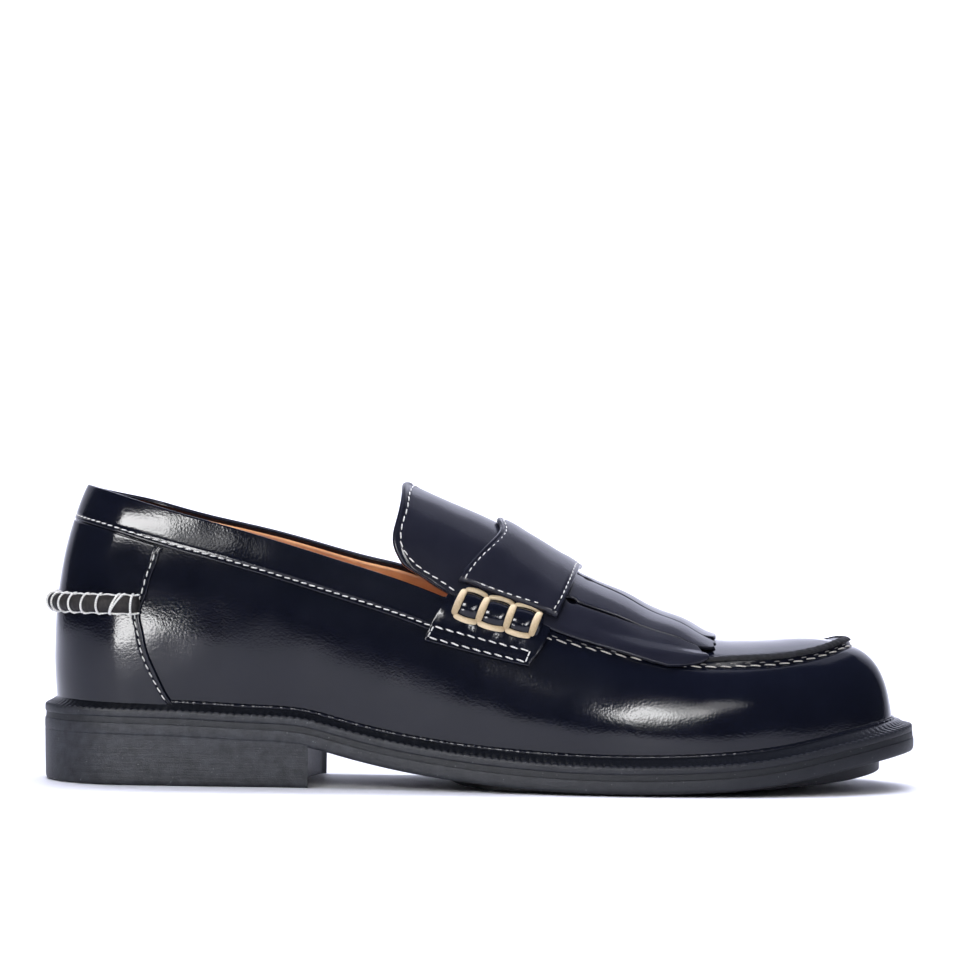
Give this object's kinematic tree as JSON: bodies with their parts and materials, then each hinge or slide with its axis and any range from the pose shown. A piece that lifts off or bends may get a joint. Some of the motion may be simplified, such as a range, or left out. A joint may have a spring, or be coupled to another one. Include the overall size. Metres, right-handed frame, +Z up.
{
  "type": "kiltie loafer",
  "caption": "Slip-on leather loafer for the right foot with a fringed kiltie flap, saddle strap with beef rolls, raised apron seam and low block heel.",
  "frame": {"origin": "middle of the footprint of the box around the shoe, on the floor", "axes": "+X to the toe, +Y to the medial (inner) side of the right foot, +Z up; the shoe stands on heel and forefoot"},
  "size_m": [0.273, 0.095, 0.0933],
  "materials": {
    "polished_leather": "high gloss black leather with a navy tint",
    "rough_leather": "rough, dark brown-black rolled edge",
    "sole_rubber": "matte charcoal",
    "welt_rubber": "matte charcoal, stitched",
    "lining_leather": "natural tan lining"
  },
  "bodies": {
    "root": {"outsole": "sole_rubber", "forefoot_tread": "sole_rubber", "heel_block": "sole_rubber", "midsole": "sole_rubber", "welt": "welt_rubber", "insole": "lining_leather", "upper": "polished_leather", "collar_band": "polished_leather", "heel_counter": "polished_leather", "heel_kicker": "rough_leather", "tongue": "polished_leather", "saddle_strap": "polished_leather", "kiltie": "polished_leather", "strap_tab_lateral": "polished_leather", "beef_roll_lateral": "polished_leather", "strap_tab_medial": "polished_leather", "beef_roll_medial": "polished_leather"}
  },
  "joints": []
}
